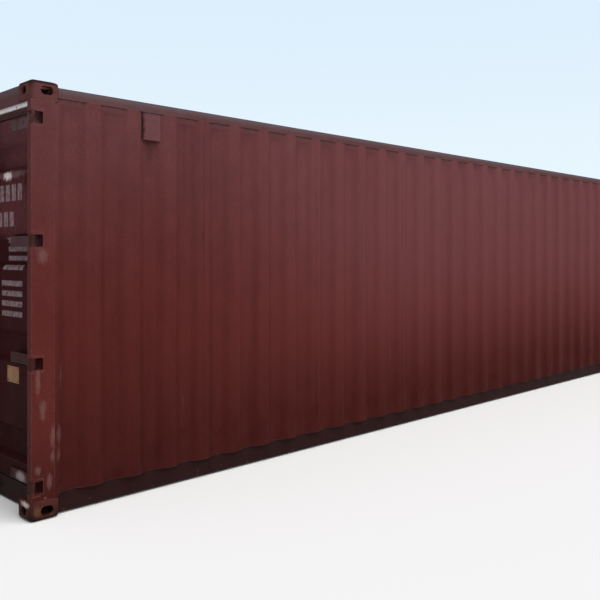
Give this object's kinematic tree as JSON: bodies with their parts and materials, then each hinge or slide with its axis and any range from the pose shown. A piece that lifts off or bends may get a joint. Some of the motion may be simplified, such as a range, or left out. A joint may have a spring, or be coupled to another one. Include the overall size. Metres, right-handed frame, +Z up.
{
  "type": "forty-foot dry freight shipping container",
  "caption": "Long steel box with corrugated walls, corner castings, ribbed roof, plywood floor and a pair of end doors on outside hinges, for carrying freight.",
  "frame": {"origin": "on the ground under the middle of the container's base", "axes": "+X along the length from the door end to the blind end, +Y to the left of someone facing the doors, +Z up"},
  "size_m": [12.192, 2.438, 2.591],
  "materials": {
    "wall_paint": "weathered dark oxide-red paint, dusty and rust-speckled",
    "door_paint": "weathered dark oxide-red paint on the doors",
    "rail": "dark, dirt-caked oxide-red paint",
    "casting": "cast steel with worn red paint and rust on the edges",
    "hinge": "painted forged steel, rubbed bare on its edges",
    "worn_edge": "chalky worn pale paint",
    "locking_gear": "painted steel tube and forgings, rubbed and rusty",
    "ventilator": "overpainted pressed cover with dirt runs",
    "gasket": "weathered black rubber",
    "underframe": "black bituminous underseal with dust",
    "plywood": "scuffed brown hardwood plywood",
    "floor_steel": "worn bare steel with rust film"
  },
  "bodies": {
    "container": {"bottom_corner_castings": "casting", "top_corner_castings": "casting", "right_rear_post": "wall_paint", "left_rear_post": "wall_paint", "right_front_post": "wall_paint", "left_front_post": "wall_paint", "right_bottom_rail": "rail", "left_bottom_rail": "rail", "right_top_rail": "wall_paint", "left_top_rail": "wall_paint", "door_sill": "rail", "door_header": "wall_paint", "front_sill": "rail", "front_header": "wall_paint", "drip_rail": "worn_edge", "right_side_wall": "wall_paint", "left_side_wall": "wall_paint", "front_wall": "wall_paint", "roof_panel": "wall_paint", "roof_corner_plates": "wall_paint", "floor_boards": "plywood", "floor_centre_rail": "floor_steel", "cross_members": "underframe", "tunnel_roof": "underframe", "tunnel_beams": "underframe", "ventilators": "ventilator", "hinge_lugs": "hinge", "hinge_pins": "hinge", "cam_keepers": "hinge"},
    "right_door": {"right_door_frame": "door_paint", "right_door_panel": "door_paint", "right_door_gasket": "gasket", "right_hinge_blades": "hinge", "right_locking_bars": "locking_gear", "right_bar_guides": "locking_gear", "right_door_handles": "locking_gear", "right_handle_catches": "locking_gear"},
    "left_door": {"left_door_frame": "door_paint", "left_door_panel": "door_paint", "left_door_gasket": "gasket", "left_hinge_blades": "hinge", "left_locking_bars": "locking_gear", "left_bar_guides": "locking_gear", "left_door_handles": "locking_gear", "left_handle_catches": "locking_gear"}
  },
  "joints": [
    {"name": "right_door_swing", "type": "hinge", "parent": "container", "child": "right_door", "pos_m": [-6.076, -1.199, 1.29], "axis": [0, 0, 1], "range_deg": [0, 270]},
    {"name": "left_door_swing", "type": "hinge", "parent": "container", "child": "left_door", "pos_m": [-6.076, 1.199, 1.29], "axis": [0, 0, -1], "range_deg": [0, 270]}
  ]
}
